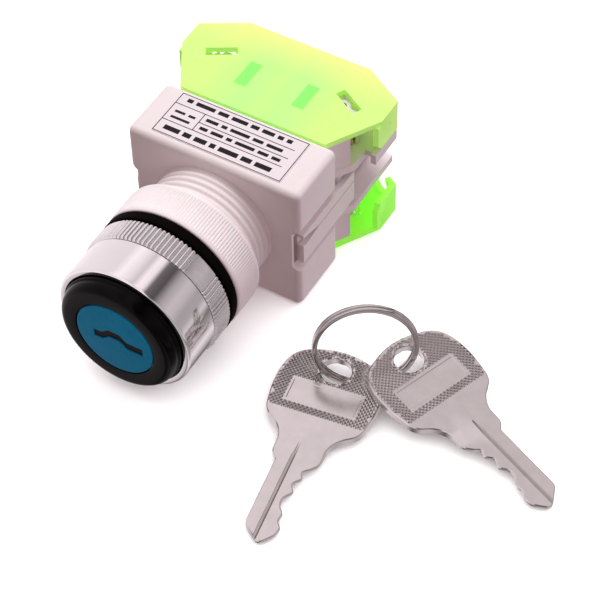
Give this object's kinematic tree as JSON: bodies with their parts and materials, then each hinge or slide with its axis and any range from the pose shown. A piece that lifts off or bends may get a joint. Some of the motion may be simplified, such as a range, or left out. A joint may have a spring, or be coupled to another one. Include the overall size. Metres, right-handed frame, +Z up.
{
  "type": "panel key switch",
  "caption": "Panel-mounted key selector switch: a chromed keyed head on a threaded neck, a square housing with two screw-terminal contact blocks, and keys on a split ring.",
  "frame": {"origin": "on the head's axis, in the plane of the panel: the nut's front face", "axes": "-Y towards the operator along the head's axis, +Z up, +X to the right seen from behind the operator"},
  "size_m": [0.1027, 0.087, 0.0301],
  "materials": {
    "blue_plastic": "satin",
    "black_plastic": "glossy",
    "rubber": "matt",
    "chrome": "polished, satin on the knurl",
    "white_plastic": "fine satin",
    "white_parts": "satin",
    "label": "matt film",
    "green_cover": "translucent, glossy",
    "zinc": "satin",
    "brass": "bright",
    "steel": "bright zinc plated",
    "key_metal": "nickel plated, satin",
    "ring_metal": "nickel plated, polished"
  },
  "bodies": {
    "root": {"collar": "black_plastic", "lock_cylinder": "zinc", "panel_gasket": "rubber", "housing": "white_plastic", "label": "label", "detent_ring": "white_plastic", "detent_ball": "steel", "detent_spring": "steel", "carrier_frame": "white_plastic", "contact_base_upper": "white_plastic", "contact_cover_upper": "green_cover", "contact_spring_upper": "steel", "terminals_upper": "brass", "clamp_plates_upper": "steel", "contact_base_lower": "white_plastic", "contact_cover_lower": "green_cover", "contact_spring_lower": "steel", "terminals_lower": "brass", "clamp_plates_lower": "steel"},
    "lock": {"key_cap": "blue_plastic", "lock_plug": "zinc", "wafers": "brass", "cam_drum": "white_parts"},
    "pusher": {"pusher": "white_parts", "follower_pins": "steel", "plunger_upper": "white_parts", "bridge_upper": "brass", "plunger_lower": "white_parts", "bridge_lower": "brass"},
    "bezel": {"bezel_sleeve": "chrome", "bezel_ring": "chrome"},
    "nut": {"panel_nut": "white_plastic"},
    "ring": {"key_ring": "ring_metal"},
    "first_key": {"key_1": "key_metal"},
    "second_key": {"key_2": "key_metal"},
    "screw_upper_right": {"terminal_screw_upper_right": "steel"},
    "screw_upper_left": {"terminal_screw_upper_left": "steel"},
    "screw_lower_right": {"terminal_screw_lower_right": "steel"},
    "screw_lower_left": {"terminal_screw_lower_left": "steel"}
  },
  "joints": [
    {"name": "key_turn", "type": "hinge", "parent": "root", "child": "lock", "pos_m": [0, -0.01, 0], "axis": [0, 1, 0], "range_deg": [0, 90]},
    {"name": "pusher_slide", "type": "slide", "parent": "root", "child": "pusher", "axis": [0, 1, 0], "range_m": [0, 0.003], "deforming": ["contact_spring_upper", "contact_spring_lower"]},
    {"name": "nut_travel", "type": "slide", "parent": "root", "child": "nut", "axis": [0, 1, 0], "range_m": [0, 0.007]},
    {"name": "bezel_travel", "type": "slide", "parent": "root", "child": "bezel", "axis": [0, -1, 0], "range_m": [0, 0.009]},
    {"name": "screw_turn_upper_right", "type": "hinge", "parent": "root", "child": "screw_upper_right", "pos_m": [0.014, 0.0416, 0.0098], "axis": [0.503, 0.8643, 0], "continuous": true},
    {"name": "screw_turn_upper_left", "type": "hinge", "parent": "root", "child": "screw_upper_left", "pos_m": [-0.014, 0.0416, 0.0098], "axis": [-0.503, 0.8643, 0], "continuous": true},
    {"name": "screw_turn_lower_right", "type": "hinge", "parent": "root", "child": "screw_lower_right", "pos_m": [-0.014, 0.0416, -0.0098], "axis": [-0.503, 0.8643, 0], "continuous": true},
    {"name": "screw_turn_lower_left", "type": "hinge", "parent": "root", "child": "screw_lower_left", "pos_m": [0.014, 0.0416, -0.0098], "axis": [0.503, 0.8643, 0], "continuous": true},
    {"name": "ring_lift", "type": "slide", "parent": "root", "child": "ring", "axis": [0, 0, 1], "range_m": [0, 0.03]},
    {"name": "key_1_swing", "type": "hinge", "parent": "ring", "child": "first_key", "pos_m": [0.03371, 0.00238, -0.01202], "axis": [0.0075, -0.0504, 0.9987], "range_deg": [-5, 5]},
    {"name": "key_2_swing", "type": "hinge", "parent": "ring", "child": "second_key", "pos_m": [0.04464, 0.00985, -0.0098], "axis": [0.1017, -0.0379, 0.9941], "range_deg": [-5, 10]}
  ],
  "couplings": [
    {"joint": "pusher_slide", "follows": "key_turn", "m_per_rad": 0.0019099}
  ]
}
